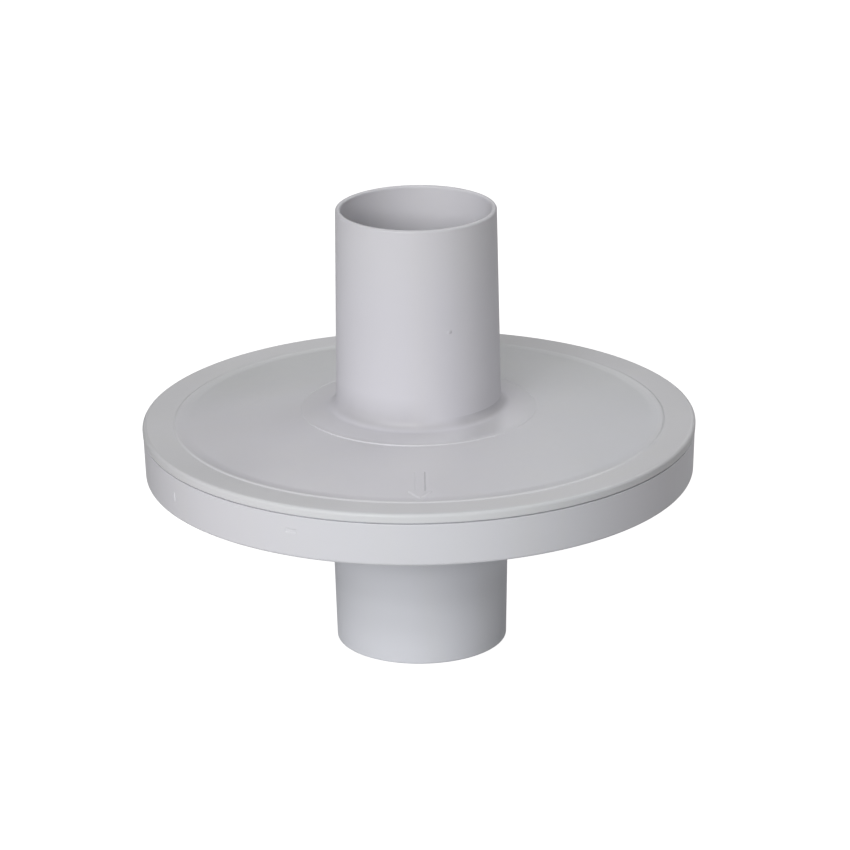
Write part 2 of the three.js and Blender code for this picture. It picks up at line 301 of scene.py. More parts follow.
def boolean(ob, other, operation="UNION"):
    """Joins ob with the closed mesh of other, or cuts it; other is used up."""
    modifier = ob.modifiers.new("cut", "BOOLEAN")
    modifier.operation = operation
    modifier.object = other
    modifier.solver = "MANIFOLD"
    depsgraph = bpy.context.evaluated_depsgraph_get()
    mesh = bpy.data.meshes.new_from_object(ob.evaluated_get(depsgraph))
    ob.modifiers.clear()
    old = ob.data
    ob.data = mesh
    mesh.name = ob.name
    bpy.data.meshes.remove(old)
    used = other.data
    bpy.data.objects.remove(other)
    bpy.data.meshes.remove(used)


def weighted(ob):
    modifier = ob.modifiers.new("normals", "WEIGHTED_NORMAL")
    modifier.mode = "FACE_AREA"
    modifier.weight = 50
    modifier.keep_sharp = True


def polygon_distance(x, y, polygon):
    """Signed distance to a polygon, negative inside."""
    distance = np.full(x.shape, 1e9)
    inside = np.zeros(x.shape, bool)
    for (ax, ay), (bx, by) in zip(polygon, polygon[1:] + polygon[:1]):
        side_x, side_y = bx - ax, by - ay
        along = ((x - ax) * side_x + (y - ay) * side_y) / (side_x * side_x + side_y * side_y)
        along = np.clip(along, 0, 1)
        distance = np.minimum(distance, np.hypot(x - ax - along * side_x, y - ay - along * side_y))
        crossing_x = side_x * (y - ay) / (by - ay + 1e-12) + ax
        inside ^= ((ay > y) != (by > y)) & (x < crossing_x)
    return np.where(inside, -distance, distance)


def smooth_step(value, start, end):
    """0 at start, 1 at end, with soft ends."""
    part = np.clip((value - start) / (end - start), 0, 1)
    return part * part * (3 - 2 * part)


def soft_inside(distance, width):
    """1 inside, 0 outside, with a soft wall of the given width centred on the outline."""
    return smooth_step(0.5 - distance / width, 0, 1)


def value_noise(x, y, z, seed):
    """Smooth seeded noise in -1..1 on arrays."""
    table = np.random.default_rng(seed).uniform(-1, 1, (32, 32, 32))
    xi, yi, zi = (np.floor(axis).astype(int) for axis in (x, y, z))
    parts = (x - xi, y - yi, z - zi)
    part_x, part_y, part_z = (part * part * (3 - 2 * part) for part in parts)
    out = 0
    for i in (0, 1):
        for j in (0, 1):
            for k in (0, 1):
                weight = part_x if i else 1 - part_x
                weight = weight * (part_y if j else 1 - part_y)
                weight = weight * (part_z if k else 1 - part_z)
                out = out + weight * table[(xi + i) % 32, (yi + j) % 32, (zi + k) % 32]
    return out


# ------------------------------------------------------------------ shader helpers

# places of the Mix node's sockets, which share their names between data types
MIX_FLOAT_A, MIX_FLOAT_B, MIX_COLOUR_A, MIX_COLOUR_B = 2, 3, 6, 7
MIX_FLOAT_OUT, MIX_COLOUR_OUT = 0, 2


class Graph:
    """A node tree, emptied and built up again."""

    def __init__(self, tree):
        self.tree = tree
        tree.nodes.clear()

    def put(self, socket, value):
        """Links a socket to another, or sets it to a plain value."""
        if isinstance(value, bpy.types.NodeSocket):
            self.tree.links.new(value, socket)
        else:
            socket.default_value = value

    def new(self, kind, inputs=None, **settings):
        node = self.tree.nodes.new("ShaderNode" + kind)
        for key, value in settings.items():
            setattr(node, key, value)
        for key, value in (inputs or {}).items():
            self.put(node.inputs[key], value)
        return node

    def camera_level(self, name, unseen, seen):
        """`seen` for rays from the camera, `unseen` for all others."""
        path = self.new("LightPath")
        inputs = {0: path.outputs["Is Camera Ray"], MIX_FLOAT_A: unseen, MIX_FLOAT_B: seen}
        return self.new("Mix", inputs, data_type="FLOAT", name=name).outputs[MIX_FLOAT_OUT]


class Surface(Graph):
    """A material built round one principled shader."""

    def __init__(self, name):
        self.material = bpy.data.materials.new(name)
        self.material.use_nodes = True
        super().__init__(self.material.node_tree)
        output = self.new("OutputMaterial")
        self.bsdf = self.new("BsdfPrincipled")
        self.put(output.inputs["Surface"], self.bsdf.outputs[0])
        self.coord = self.new("TexCoord").outputs["Object"]

    def finish(self, inputs):
        for key, value in inputs.items():
            self.put(self.bsdf.inputs[key], value)
        return self.material

    def noise(self, scale, detail=2.0, rough=0.5, stretch=None, distortion=0.0):
        vector = self.coord
        if stretch is not None:
            mapping = self.new("Mapping", {"Scale": stretch, "Vector": vector})
            vector = mapping.outputs["Vector"]
        inputs = {
            "Scale": scale,
            "Detail": detail,
            "Roughness": rough,
            "Distortion": distortion,
            "Vector": vector,
        }
        return self.new("TexNoise", inputs).outputs["Fac"]

    def cells(self, scale, feature="F1"):
        inputs = {"Scale": scale, "Vector": self.coord}
        return self.new("TexVoronoi", inputs, feature=feature).outputs["Distance"]

    def remap(self, value, span, to=(0, 1), **settings):
        """value carried from one span to another, and held at its ends."""
        inputs = {
            "From Min": span[0],
            "From Max": span[1],
            "To Min": to[0],
            "To Max": to[1],
            "Value": value,
        }
        return self.new("MapRange", inputs, **settings).outputs["Result"]

    def ease(self, value, zero, one):
        """0 where value is `zero`, 1 where it is `one`, with soft ends."""
        span = (min(zero, one), max(zero, one))
        to = (float(zero > one), float(zero < one))
        return self.remap(value, span, to, interpolation_type="SMOOTHSTEP")

    def math(self, operation, first, second=None):
        inputs = {0: first}
        if second is not None:
            inputs[1] = second
        return self.new("Math", inputs, operation=operation).outputs[0]

    def times(self, *values):
        if len(values) == 1:
            return values[0]
        return self.math("MULTIPLY", values[0], self.times(*values[1:]))

    def mix(self, amount, base, other, blend="MIX"):
        inputs = {"Factor": amount}
        for key, value in ((MIX_COLOUR_A, base), (MIX_COLOUR_B, other)):
            inputs[key] = (*value, 1) if isinstance(value, tuple) else value
        node = self.new("Mix", inputs, data_type="RGBA", blend_type=blend)
        return node.outputs[MIX_COLOUR_OUT]

    def tint(self, amount, base, tone):
        """base multiplied by a tone, given as a grey level or a colour."""
        if isinstance(tone, float):
            tone = (tone,) * 3
        return self.mix(amount, base, tone, "MULTIPLY")

    def bump(self, height, strength, distance, normal=None):
        inputs = {"Strength": strength, "Distance": distance, "Height": height}
        if normal is not None:
            inputs["Normal"] = normal
        return self.new("Bump", inputs).outputs["Normal"]


# ------------------------------------------------------------------ shell and grid plastic

SHELL_COLOUR = (0.640, 0.634, 0.668)
GRID_COLOUR = (0.56, 0.565, 0.59)
# the corners where the tubes meet the discs: radius and height, the way the tube leaves
# (1 is up), the tone of the painted shade in the corner, the azimuth where that shade thins,
# and the tones of the painted highlight and painted shadow on the pad beside it
FEET = (
    dict(
        r=SPIGOT_FOOT_R, z=115.95, side=1, shade=0.80, unshaded_azimuth=20.0, pad_highlight_tone=1.06, pad_shadow_tone=0.83
    ),
    dict(r=SOCKET_FOOT_R, z=77.0, side=-1, shade=0.94, unshaded_azimuth=20.0),
)


def scaled(colour, factor):
    return tuple(part * factor for part in colour)


def painted_foot_shade(net, colour, spot, foot, shade_noise):
    """Painted shade, uneven, in the corner round a tube's foot; on the spigot's pad also a painted
    highlight and a painted shadow.
    """
    x, y, z, radius, azimuth = spot
    math_node, times, ease = net.math, net.times, net.ease
    outside = times(
        math_node("GREATER_THAN", radius, foot["r"] - 1.8), math_node("LESS_THAN", radius, 60)
    )
    up = times(math_node("SUBTRACT", z, foot["z"]), foot["side"])
    fade = math_node("POWER", net.remap(up, span=(3.0, 16.0), to=(1.0, 0.0)), 1.2)
    # the painted shade is left off the wall on one side, and off the corner only on a short
    # stretch of it
    across = math_node("DIVIDE", math_node("SUBTRACT", azimuth, foot["unshaded_azimuth"]), 17.0)
    shade_gap = math_node("POWER", math.e, times(times(across, across), -1.0))
    in_corner = net.remap(shade_gap, span=(0, 1), to=(1.0, 0.48))
    on_wall = ease(azimuth, zero=foot["unshaded_azimuth"] - 4.0, one=foot["unshaded_azimuth"] - 32.0)
    lift = times(ease(azimuth, zero=30.0, one=46.0), 2.0)
    low = ease(math_node("ADD", up, lift), zero=5.5, one=1.5)
    amount = math_node(
        "ADD", times(low, in_corner), times(math_node("SUBTRACT", 1.0, low), on_wall)
    )
    amount = times(amount, times(ease(up, zero=0.1, one=2.2), fade))
    left = net.remap(ease(azimuth, zero=-82.0, one=-50.0), span=(0, 1), to=(0.25, 1.0))
    amount = times(amount, left)
    amount = times(times(amount, shade_noise), outside)
    # painted shade: the corner's colour is multiplied down by this tone where amount is high
    shade_tone = foot["shade"]
    colour = net.tint(amount, colour, (shade_tone, shade_tone * 0.998, shade_tone * 0.985))
    if "pad_shadow_tone" not in foot:
        return colour
    # the pad beside it gets a painted highlight along its front edge, and a painted shadow at the
    # front right
    # painted highlight: the pad's edge made paler towards the front
    pad = times(ease(up, zero=1.2, one=0.2), ease(up, zero=-1.9, one=-0.9))
    pad = times(pad, times(outside, ease(radius, zero=54.6, one=52.0)))
    pad = times(pad, ease(math_node("ABSOLUTE", azimuth), zero=80.0, one=50.0))
    colour = net.tint(pad, colour, foot["pad_highlight_tone"])
    # painted shadow: a dark patch on the pad at the front right of the spigot
    front_right_shadow = times(math_node("LESS_THAN", up, 5.0), ease(up, zero=-2.2, one=-0.9))
    front_right_shadow = times(front_right_shadow, times(outside, ease(y, zero=2.0, one=-6.0)))
    front_right_shadow = times(front_right_shadow, times(ease(x, zero=13.0, one=30.0), ease(x, zero=42.0, one=33.6)))
    front_right_shadow = times(front_right_shadow, ease(radius, zero=55.0, one=51.5))
    return net.tint(times(front_right_shadow, shade_noise), colour, foot["pad_shadow_tone"])


def tone_and_light_patches(net, colour, spot):
    """Soft patches over the housing, each a multiplier on the colour; they hold partly the
    plastic's own uneven tone and partly painted light and shade.
    """
    x, y, z, radius, azimuth = spot
    times, ease = net.times, net.ease
    lid = ease(z, zero=104.4, one=105.0)
    band = times(lid, ease(radius, zero=111.0, one=118.0))
    plate = times(lid, net.math("SUBTRACT", 1.0, band), ease(radius, zero=40.0, one=60.0))
    front = ease(y, zero=30.0, one=-20.0)
    wall = times(net.math("GREATER_THAN", radius, 127.8), front)
    spigot = times(
        net.math("GREATER_THAN", radius, 36.7),
        ease(radius, zero=46.0, one=40.0),
        ease(z, zero=112.0, one=116.0),
    )
    socket = times(
        net.math("GREATER_THAN", radius, 38.6),
        ease(radius, zero=60.0, one=50.0),
        ease(z, zero=84.0, one=78.0),
    )
    # where the patch lies, and its tone
    patches = (
        # band and plate: partly the plastic's tone, partly painted light and shade, darker at the
        # sides and on the left
        (band, (0.992, 1.0, 0.975)),
        (times(band, ease(net.math("ABSOLUTE", x), zero=90.0, one=122.0)), 0.965),
        (times(plate, ease(y, zero=-30.0, one=70.0)), (0.980, 1.0, 0.968)),
        (times(plate, ease(y, zero=20.0, one=70.0), ease(x, zero=0.0, one=50.0)), 1.045),
        (
            times(plate, ease(x, zero=0.0, one=90.0), ease(y, zero=70.0, one=-30.0)),
            (0.982, 1.0, 0.990),
        ),
        (times(plate, ease(x, zero=-55.0, one=-100.0)), 0.945),
        (times(plate, ease(y, zero=0.0, one=-60.0), ease(x, zero=30.0, one=-20.0)), 1.035),
        (times(spigot, net.remap(z, span=(125.0, 212.0), to=(0.1, 1.0))), 0.930),
        (times(spigot, ease(z, zero=205.0, one=170.0)), (0.998, 0.996, 1.010)),
        # painted light on the socket: darker overall, lighter in its upper part and at its lower
        # front left
        (socket, scaled((0.974, 1.0, 1.010), 0.965)),
        (times(socket, ease(z, zero=30.0, one=46.0)), 1.12),
        (times(socket, ease(z, zero=24.0, one=4.0), ease(x, zero=40.0, one=-10.0)), 1.13),
        # painted light and shade on the outer wall: darker overall, lighter on the left front,
        # darker on the right front and lighter again further right
        (wall, 0.90),
        (times(wall, ease(azimuth, zero=-90.0, one=-48.0)), 1.155),
        (times(wall, ease(azimuth, zero=-5.0, one=58.0)), 0.92),
        (
            times(
                wall, ease(azimuth, zero=-50.0, one=-5.0), ease(azimuth, zero=55.0, one=30.0)
            ),
            (0.982, 1.0, 1.0),
        ),
        (times(wall, ease(azimuth, zero=58.0, one=75.0)), 1.10),
    )
    for where, tone in patches:
        colour = net.tint(where, colour, tone)
    return colour


def gate_scorch(net, colour, spot):
    """The scorched end of the gate on the spigot."""
    turn = math.radians(GATE["azimuth"])
    gate = (GATE["wall_r"] * math.sin(turn), -GATE["wall_r"] * math.cos(turn), GATE["z"])
    squares = [
        net.math("POWER", net.math("SUBTRACT", axis, place_on_axis), 2.0)
        for axis, place_on_axis in zip(spot[:3], gate)
    ]
    total = net.math("ADD", squares[0], net.math("ADD", squares[1], squares[2]))
    scorched = net.ease(net.math("SQRT", total), zero=1.15, one=0.35)
    return net.tint(scorched, colour, (0.80, 0.79, 0.79))


def moulded_plastic(name, colour, rough, flow, aged_and_shaded=False):
    """Satin moulded plastic: fine grain, faint flow marks and rubbed edges; aged adds painted
    shade round the tubes' feet, patches of tone with painted light and shade over the housing, and
    the gate's scorch.
    """
    net = Surface(name)
    broad = net.noise(scale=9.0, detail=3.0, rough=0.55)
    stream = net.noise(scale=46.0, detail=3.0, rough=0.6, stretch=flow, distortion=0.4)
    speck = net.noise(scale=520.0, detail=2.0, rough=0.6)
    mixed = net.mix(
        net.remap(broad, span=(0.3, 0.7)), scaled(colour, 0.987), scaled(colour, 1.013)
    )
    warm = (colour[0] * 1.006, colour[1] * 1.004, colour[2] * 0.985)
    mixed = net.mix(net.remap(stream, span=(0.46, 0.62), to=(0, 0.45)), mixed, warm)
    dark = scaled(colour, 0.86)
    mixed = net.mix(net.remap(speck, span=(0.66, 0.78), to=(0, 0.10)), mixed, dark)
    # corners, found where a bevelled normal leaves the true one, are rubbed a little lighter
    true_normal = net.new("NewGeometry").outputs["Normal"]
    bevelled = net.new("Bevel", {"Radius": 0.0009}, samples=3).outputs["Normal"]
    agreement = net.new("VectorMath", {0: true_normal, 1: bevelled}, operation="DOT_PRODUCT")
    # falling from 0.995 to 0.93, so the span runs backwards
    edge = net.remap(agreement.outputs["Value"], span=(0.995, 0.93))
    patchy = net.remap(net.noise(scale=60.0, detail=3.0), span=(0.4, 0.6), to=(0.1, 0.5))
    rubbed = net.times(edge, patchy)
    mixed = net.mix(rubbed, mixed, scaled(colour, 1.06))
    if aged_and_shaded:
        # where on the housing a point lies, in mm and degrees
        axes = net.new("SeparateXYZ", {0: net.coord}).outputs
        x, y, z = (net.times(axis, 1 / MM) for axis in axes)
        radius = net.math("SQRT", net.math("ADD", net.times(x, x), net.times(y, y)))
        azimuth = net.times(net.math("ARCTAN2", x, net.times(y, -1.0)), 180 / math.pi)
        spot = (x, y, z, radius, azimuth)
        shade_noise = net.noise(scale=85.0, detail=4.0, rough=0.65)
        shade_noise = net.remap(shade_noise, span=(0.3, 0.7), to=(0.9, 1.1))
        # painted shade round the tubes' feet, then tone patches with painted light and shade, then
        # the gate's scorch
        for foot in FEET:
            mixed = painted_foot_shade(net, mixed, spot, foot, shade_noise)
        mixed = tone_and_light_patches(net, mixed, spot)
        mixed = gate_scorch(net, mixed, spot)
    roughness = net.remap(broad, span=(0.3, 0.7), to=(rough - 0.035, rough + 0.035))
    uneven = net.noise(scale=210.0, detail=4.0, rough=0.7, stretch=(1, 1, 0.35))
    uneven = net.remap(uneven, span=(0.35, 0.65), to=(-0.03, 0.03))
    roughness = net.math("ADD", roughness, uneven)
    roughness = net.math("SUBTRACT", roughness, net.times(rubbed, 0.10))
    cells = net.cells(scale=1500.0)
    grain = net.noise(scale=2600.0, detail=2.0, rough=0.6)
    normal = net.bump(grain, strength=0.30, distance=0.00003)
    normal = net.bump(cells, strength=0.22, distance=0.00003, normal=normal)
    waves = net.noise(scale=55.0, detail=2.0)
    normal = net.bump(waves, strength=0.10, distance=0.00012, normal=normal)
    return net.finish({
        "Base Color": mixed,
        "Roughness": roughness,
        "Normal": normal,
        "IOR": 1.5,
        "Specular IOR Level": 0.42,
    })


# ------------------------------------------------------------------ other materials


def rubber_material(name):
    """Black rubber with a grey bloom and a little dust."""
    net = Surface(name)
    bloom = net.noise(scale=70.0, detail=4.0, rough=0.6)
    colour = net.mix(
        net.remap(bloom, span=(0.42, 0.68)), (0.018, 0.018, 0.020), (0.040, 0.040, 0.042)
    )
    dust = net.noise(scale=420.0, detail=3.0, rough=0.7)
    dust = net.remap(dust, span=(0.62, 0.75), to=(0, 0.35))
    colour = net.mix(dust, colour, (0.12, 0.12, 0.115))
    roughness = net.remap(bloom, span=(0.3, 0.7), to=(0.58, 0.78))
    grain = net.noise(scale=1800.0, detail=3.0, rough=0.6)
    normal = net.bump(grain, strength=0.35, distance=0.00004)
    return net.finish({"Base Color": colour, "Roughness": roughness, "Normal": normal})


def felt_material(name):
    """Off-white felt of crossed fibres, faintly stained."""
    net = Surface(name)
    along_y, along_x = (
        net.noise(scale=900.0, detail=4.0, rough=0.75, stretch=stretch, distortion=1.2)
        for stretch in ((1.0, 0.35, 1.0), (0.35, 1.0, 1.0))
    )
    fibres = net.math("MAXIMUM", along_y, along_x)
    colour = net.mix(net.remap(fibres, span=(0.4, 0.7)), (0.60, 0.58, 0.52), (0.86, 0.85, 0.80))
    stain = net.noise(scale=22.0, detail=3.0, rough=0.6)
    stain = net.remap(stain, span=(0.5, 0.75), to=(0, 0.25))
    colour = net.mix(stain, colour, (0.55, 0.52, 0.45))
    return net.finish({
        "Base Color": colour,
        "Roughness": 0.95,
        "Sheen Weight": 0.35,
        "Sheen Roughness": 0.5,
        "Normal": net.bump(fibres, strength=0.7, distance=0.00025),
    })


def foam_material(name):
    """Black open-celled foam with pale dust."""
    net = Surface(name)
    cells = net.cells(scale=720.0, feature="SMOOTH_F1")
    colour = net.mix(
        net.remap(cells, span=(0.15, 0.6)), (0.006, 0.006, 0.007), (0.060, 0.061, 0.064)
    )
    dust = net.noise(scale=300.0, detail=4.0, rough=0.7)
    dust = net.remap(dust, span=(0.6, 0.75), to=(0, 0.2))
    colour = net.mix(dust, colour, (0.16, 0.16, 0.15))
    normal = net.bump(cells, strength=0.9, distance=0.0005)
    return net.finish({"Base Color": colour, "Roughness": 0.9, "Normal": normal})


def steel_material(name):
    """Dull steel wire."""
    net = Surface(name)
    patches = net.noise(scale=240.0, detail=3.0, rough=0.6)
    colour = net.mix(
        net.remap(patches, span=(0.35, 0.65)), (0.47, 0.47, 0.46), (0.66, 0.66, 0.67)
    )
    roughness = net.remap(patches, span=(0.3, 0.7), to=(0.26, 0.42))
    grain = net.noise(scale=5000.0, detail=2.0)
    return net.finish({
        "Base Color": colour,
        "Metallic": 1.0,
        "Roughness": roughness,
        "Normal": net.bump(grain, strength=0.2, distance=0.00002),
    })


# by slot name
MATERIALS = {
    "shell_plastic": moulded_plastic(
        "shell_plastic", SHELL_COLOUR, rough=0.46, flow=(1.0, 1.0, 0.05), aged_and_shaded=True
    ),
    "grid_plastic": moulded_plastic(
        "grid_plastic", GRID_COLOUR, rough=0.5, flow=(1.0, 1.0, 1.0)
    ),
    "seal_rubber": rubber_material("seal_rubber"),
    "filter_felt": felt_material("filter_felt"),
    "filter_foam": foam_material("filter_foam"),
    "screen_steel": steel_material("screen_steel"),
}


def place(ob, slot, body, node):
    ob.data.materials.clear()
    ob.data.materials.append(MATERIALS[slot])
    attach(ob, body)
    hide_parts(node)


# ------------------------------------------------------------------ upper shell

LID_PAD_R = 55.02  # edge of the raised pad round the spigot
LID_PAD_Z = Z_LID + 5.90
CONE_R = 55.30  # inner end of the cone that rises from the flat band
CONE_Z = Z_LID + 5.40
SPIGOT_WALL = (36.8, 39.5)  # radii that hold the spigot's outside
# arrow on the cone at azimuth 0, pointing outwards
ARROW = dict(start=83.0, neck=103.0, tip=110.4, width=4.6, head=10.6, height=0.5)
arrow_outline = [
    (ARROW["start"], -ARROW["width"] / 2),
    (ARROW["neck"], -ARROW["width"] / 2),
    (ARROW["neck"], -ARROW["head"] / 2),
    (ARROW["tip"], 0.0),
    (ARROW["neck"], ARROW["head"] / 2),
    (ARROW["neck"], ARROW["width"] / 2),
    (ARROW["start"], ARROW["width"] / 2),
]
# radii of the raised bead between cone and flat band, and its height
BEAD = dict(foot=108.6, crest=114.3, edge=114.5, out=115.6, height=0.45)

# r, z, corner radius: outside from the rim up to the spigot's top, then back along the inside
upper_section = rounded(
    [
        (R_LID - 0.22, 104.8, 0.40),
        (R_LID, Z_LID, 1.35),
        (116.4, Z_LID, 0),
        (112.3, Z_LID + 0.03, 0),
        (111.3, Z_LID + 0.124, 0),
        (81.4, Z_LID + 2.941, 0),
        (CONE_R, CONE_Z, 0.15),
        (LID_PAD_R, LID_PAD_Z, 0.24),
        (SPIGOT_FOOT_R, LID_PAD_Z + PAD_SLOPE * (LID_PAD_R - SPIGOT_FOOT_R), FOOT_FILLET),
        (37.50, Z_TOP, 1.05),
        (35.10, Z_TOP, 0.95),
        (35.80, 112.45, 6.0),
        (112.5, 106.4, 1.0),
        (121.0, 106.4, 1.2),
        (121.0, 90.6, 0.7),
        (123.8, 90.6, 0.7),
        (123.8, 98.6, 0.2),
        (126.6, 98.6, 0.4),
        (126.6, 99.8, 0.2),
        (123.6, 99.8, 0.25),
        (123.6, 103.2, 0.25),
        (126.6, 103.2, 0.2),
        (126.6, 104.8, 0.3),
    ]
)
# r from, r to, z from, z to, longest side: bead, arrow, gate mark, rest of the spigot
upper_zones = (
    (111.35, 116.35, Z_LID - 0.5, Z_LID + 5.0, 0.2),
    (81.5, 111.35, Z_LID - 0.5, Z_LID + 5.0, 0.45),
    (*SPIGOT_WALL, GATE["z"] - 1.5, GATE["z"] + 1.5, 0.2),
    (*SPIGOT_WALL, 120.0, math.inf, 7.0),
)


def upper_warp(radius, z, azimuth):
    # the pad's edge stands proud in front, and runs out into the cone at the sides and back
    proud = smooth_step(azimuth, -67, -57) * smooth_step(azimuth, 47, 37)
    edge = (radius > 54.5) & (radius < 55.2) & (z > Z_LID + 5.2)
    level = CONE_Z + (CONE_R - radius) * 0.115
    run_out = np.where(edge, (1 - proud) * (level - z), 0.0)
    top = (z > Z_LID - 0.4) & (z < Z_LID + 5.3) & (radius > 55.2)
    # raised bead: a long slope up from the middle, and a short drop to the flat band
    rise = smooth_step(radius, BEAD["foot"], BEAD["crest"])
    drop = smooth_step(radius, BEAD["edge"], BEAD["out"])
    bead = np.where(top, BEAD["height"] * rise * (1 - drop), 0.0)
    turn = np.radians(azimuth)
    to_arrow = polygon_distance(radius * np.cos(turn), radius * np.sin(turn), arrow_outline)
    arrow = np.where(top, ARROW["height"] * soft_inside(to_arrow, 0.5), 0.0)
    wall = (radius > SPIGOT_WALL[0]) & (radius < SPIGOT_WALL[1])
    along = np.radians(azimuth - GATE["azimuth"]) * GATE["wall_r"]
    to_gate = np.hypot(along, z - GATE["z"]) - GATE["radius"]
    gate = np.where(wall, GATE["height"] * soft_inside(to_gate, 0.5), 0.0)
    # a warp of a few hundredths, as a moulded disc of this size always has
    sag = np.where(top, 0.05 * np.sin(np.radians(azimuth) * 2 + 0.7) * (radius / R_LID) ** 2, 0.0)
    return gate, bead + arrow + sag + run_out


gate_rows = (GATE["z"] - 1.6, GATE["z"] + 1.6)
upper = make(
    "upper_shell_form",
    *lathe(
        refine(add_rows(upper_section, *SPIGOT_WALL, 20, gate_rows), upper_zones),
        turns(1.5, [(-4.2, 4.2, 0.14), (21.8, 25.4, 0.3)]),  # finer at the arrow and the gate
        upper_warp,
    ),
)

lugs = [
    ring_block((122.6, 126.4), (91.0, 93.8), (azimuth - 12, azimuth + 12))
    for azimuth in LUG_AZIMUTHS
]
rib_section = [(46, 104.05), (112, 104.05), (112, 107.6), (46, 113.2)]
ribs = [web(rib_section, 2.0, azimuth, 0.25) for azimuth in RIB_AZIMUTHS]
boolean(upper, make("upper_adds", *merged(*lugs, *ribs)))
shade(upper)
weighted(upper)
place(upper, "shell_plastic", "lid", "upper_shell")

# ------------------------------------------------------------------ lower shell

WALL_R = 129.3  # the outer wall's radius at its marks
WALL_FROM = 128.6  # only the outer wall lies beyond this radius
BASE_PAD_R = 57.6  # edge of the pad round the socket
BASE_PAD_Z = 78.1
# marks on the outer wall: a raised upright tick and a sunk flat dimple
TICK = dict(azimuth=-60.5, width=1.1, low=92.6, high=96.6)
DIMPLE = dict(azimuth=-26.7, width=5.2, low=96.05, high=97.75)
MARK_DEPTH = 0.35
MARK_ROWS = (91.6, 98.6)  # the wall is finely split between these heights

# r, z, corner radius: outside from the socket's end up to the rim, then back along the inside
lower_section = rounded(
    [
        (40.2, 0.0, 1.0),
        (SOCKET_FOOT_R, BASE_PAD_Z - PAD_SLOPE * (BASE_PAD_R - SOCKET_FOOT_R), FOOT_FILLET),
        (BASE_PAD_R, BASE_PAD_Z, 0.24),
        (57.85, 78.6, 0.15),
        (112.6, 84.0, 3.0),
        (128.9, 84.0, 1.45),
        (129.6, 104.2, 0.45),
        (128.3, 104.2, 0.12),
        (128.3, 104.7, 0.15),
        (127.0, 104.7, 0.35),
        (127.0, 86.6, 1.2),
        (118.5, 86.6, 0.3),
        (118.5, 90.0, 0.3),
        (114.5, 90.0, 0.3),
        (114.5, 86.6, 0.3),
        (37.8, 80.75, 6.0),
        (37.8, 51.1, 0.25),
        (35.6, 50.7, 0.4),
        (35.6, 48.5, 0.2),
        (37.7, 48.5, 0.2),
        (37.7, 0.0, 1.0),
    ]
)


def wall_mark(mark, azimuth, z, blend):
    """1 on a mark of the outer wall, 0 off it."""
    across = np.radians(azimuth - mark["azimuth"]) * WALL_R
    half, low, high = mark["width"] / 2, mark["low"], mark["high"]
    outline = [(-half, low), (half, low), (half, high), (-half, high)]
    return soft_inside(polygon_distance(across, z, outline), blend)


def lower_warp(radius, z, azimuth):
    marks = wall_mark(TICK, azimuth, z, 0.4) - wall_mark(DIMPLE, azimuth, z, 0.5)
    return np.where(radius > WALL_FROM, MARK_DEPTH * marks, 0.0), np.zeros_like(radius)


lower = make(
    "lower_shell_form",
    *lathe(
        refine(
            add_rows(lower_section, 128.5, math.inf, 8, MARK_ROWS),
            [(WALL_FROM, math.inf, *MARK_ROWS, 0.24)],
        ),
        turns(1.5, [(-61.6, -59.4, 0.08), (-28.6, -24.8, 0.12)]),  # finer at tick and dimple
        lower_warp,
    ),
)
parts = []
# lugs on the wall's inside, each with a short block below one end
for azimuth in LUG_AZIMUTHS:
    parts.append(ring_block((124.3, 128.0), (94.1, 97.1), (azimuth - 15, azimuth + 15)))
    parts.append(
        ring_block((124.35, 128.0), (90.9, 94.6), (azimuth - 15.4, azimuth - 13.5))
    )
rib_section = [(46, 80.3), (112.3, 85.4), (112.3, 89.95), (46, 89.95)]
parts += [web(rib_section, 2.0, azimuth) for azimuth in RIB_AZIMUTHS]
# upright keys that fit the notches of the grids
key_section = [
    (117.2, 85.0), (120.4, 85.0), (120.4, 102.9), (119.9, 103.4), (117.7, 103.4), (117.2, 102.9)
]
parts += [web(key_section, 6.0, azimuth) for azimuth in KEY_AZIMUTHS]
for part in parts:
    boolean(lower, make("lower_add", *part))
shade(lower)
weighted(lower)
place(lower, "shell_plastic", "base", "lower_shell")

# ------------------------------------------------------------------ support grids

GRID_R = 118.5
GRID_RIM_IN = 111.5
GRID_RINGS = (48.0, 80.0)
GRID_BAR = 2.2  # width of rings; the spokes are 2.4 wide
GRID_EDGE = 0.45  # rounding of the rim and rings, spokes and hub
# node, underside, top, hub radius
GRIDS = (("lower_grid", 90.15, 92.35, 14.0), ("upper_grid", 101.75, 103.75, 18.0))


def rectangle(left, right, low, high, corner):
    return rounded(
        [(left, low, corner), (right, low, corner), (right, high, corner), (left, high, corner)]
    )


def grid_hub(low, high, radius, azimuths):
    """A closed disc with rounded edges, slightly crowned on top."""
    edge, crown = GRID_EDGE, 0.12
    centre = radius - edge
    profile = [(centre, low)]
    for turn in np.linspace(0.2, math.pi / 2, 5):
        profile.append((centre + edge * math.sin(turn), low + edge - edge * math.cos(turn)))
    for turn in np.linspace(0.0, math.pi / 2 - 0.1, 5):
        z = high - crown - edge + edge * math.sin(turn)
        profile.append((centre + edge * math.cos(turn), z))
    for part in (0.75, 0.5, 0.25):
        profile.append((radius * part, high - crown + 0.11 * (1 - part * part)))
    verts = [(0, 0, low), (0, 0, high)]
    for turn in np.radians(azimuths):
        verts += [(across * math.cos(turn), across * math.sin(turn), z) for across, z in profile]
    return verts, outward(verts, capped_faces(len(azimuths), len(profile)))


def grid_spoke(low, high, hub, azimuth):
    """A spoke with rounded long edges, laid from the hub to the rim."""
    profile = rectangle(-1.2, 1.2, low + 0.01, high - 0.01, GRID_EDGE)
    return prism([
        point_at(radius, z, azimuth, offset)
        for radius in (hub - 1.5, 112.2)
        for offset, z in profile
    ])


